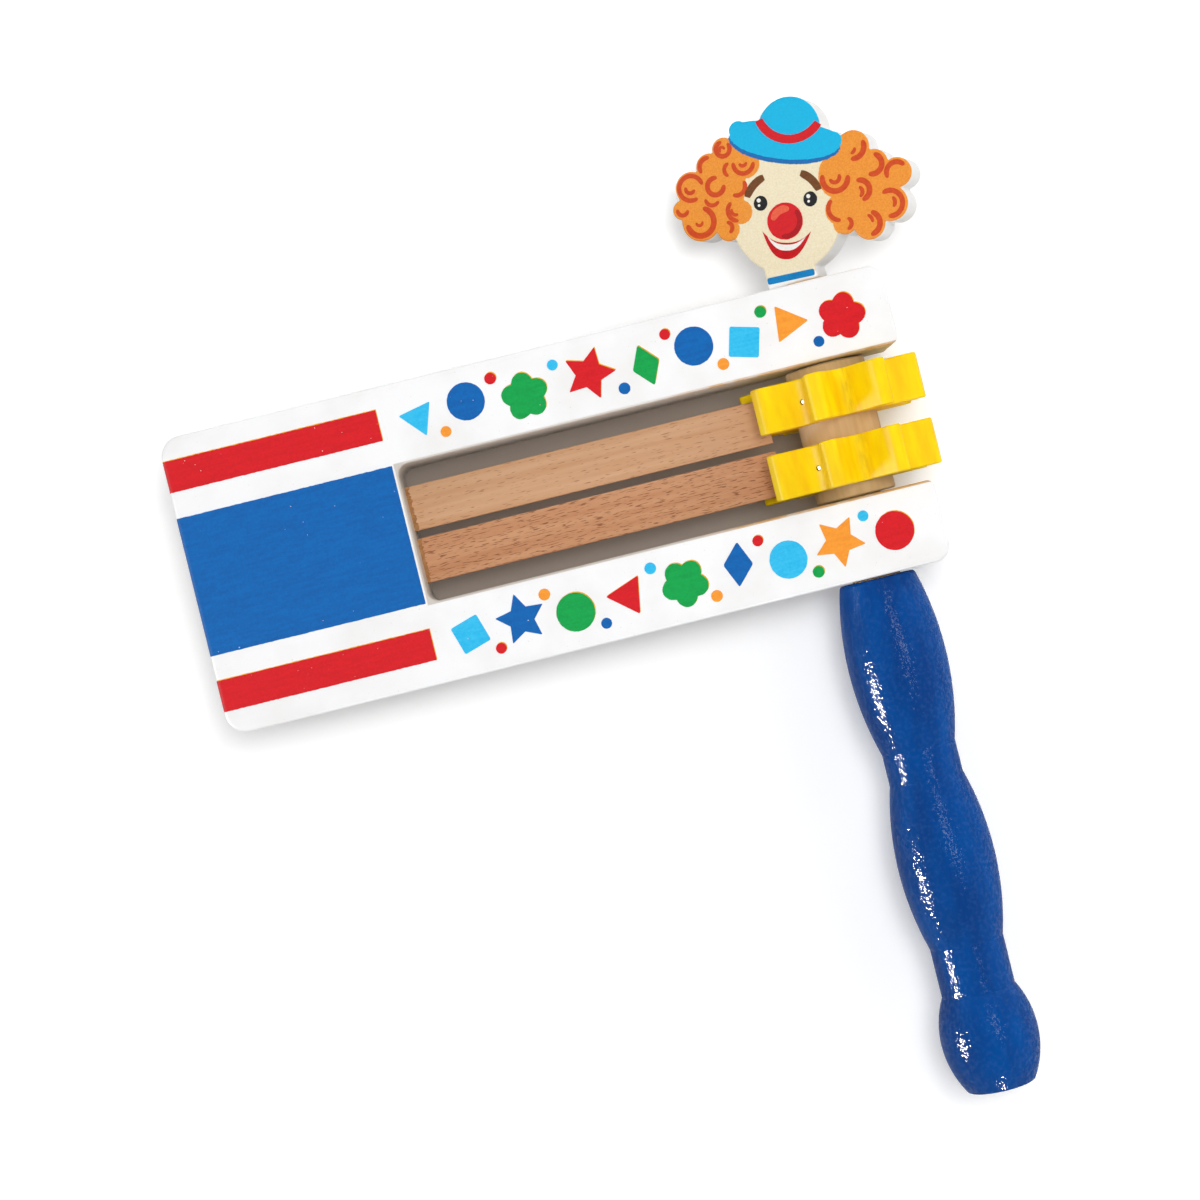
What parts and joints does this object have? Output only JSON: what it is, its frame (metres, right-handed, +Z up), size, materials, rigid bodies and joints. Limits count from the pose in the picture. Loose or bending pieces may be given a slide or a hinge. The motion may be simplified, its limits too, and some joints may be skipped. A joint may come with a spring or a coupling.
{
  "type": "ratchet noisemaker",
  "caption": "Whirling ratchet noisemaker: a turned handle carries toothed wheels past springy wooden slats in a slotted frame, topped by a clown's head cut-out.",
  "frame": {"origin": "under the middle of the whole toy as it lies on its back, on the surface that it lies on", "axes": "+X along the frame towards the arms' open ends, +Y along the axle towards the head, +Z up out of the printed face"},
  "size_m": [0.1781, 0.2258, 0.0399],
  "materials": {
    "white_painted_wood": "satin white paint",
    "slat_beech": "bare sanded beech",
    "yellow_painted_wood": "gloss yellow paint",
    "steel_brad": "bright drawn wire",
    "bare_dowel": "bare sanded dowel",
    "blue_lacquered_wood": "gloss blue lacquer",
    "head_board": "satin white paint, printed front"
  },
  "bodies": {
    "frame": {"frame": "white_painted_wood", "upper_slat_tail": "slat_beech", "lower_slat_tail": "slat_beech"},
    "crank": {"axle": "bare_dowel", "gear_barrel": "bare_dowel", "upper_gear": "yellow_painted_wood", "lower_gear": "yellow_painted_wood", "upper_gear_brad": "steel_brad", "lower_gear_brad": "steel_brad", "handle": "blue_lacquered_wood", "clown_head": "head_board", "head_peg": "bare_dowel"},
    "upper_slat": {"upper_slat": "slat_beech"},
    "lower_slat": {"lower_slat": "slat_beech"}
  },
  "joints": [
    {"name": "handle_spin", "type": "hinge", "parent": "frame", "child": "crank", "pos_m": [0.05857, 0.0382, 0.01995], "axis": [0, 1, 0], "continuous": true, "deforming": ["upper_slat", "lower_slat"]},
    {"name": "upper_slat_flex", "type": "hinge", "parent": "frame", "child": "upper_slat", "pos_m": [-0.03933, 0.04415, 0.01995], "axis": [0, -1, 0], "range_deg": [-10.5, 10.5], "stiffness_Nm_per_rad": 1.81},
    {"name": "lower_slat_flex", "type": "hinge", "parent": "frame", "child": "lower_slat", "pos_m": [-0.03933, 0.03225, 0.01995], "axis": [0, -1, 0], "range_deg": [-10.5, 10.5], "stiffness_Nm_per_rad": 1.81}
  ]
}
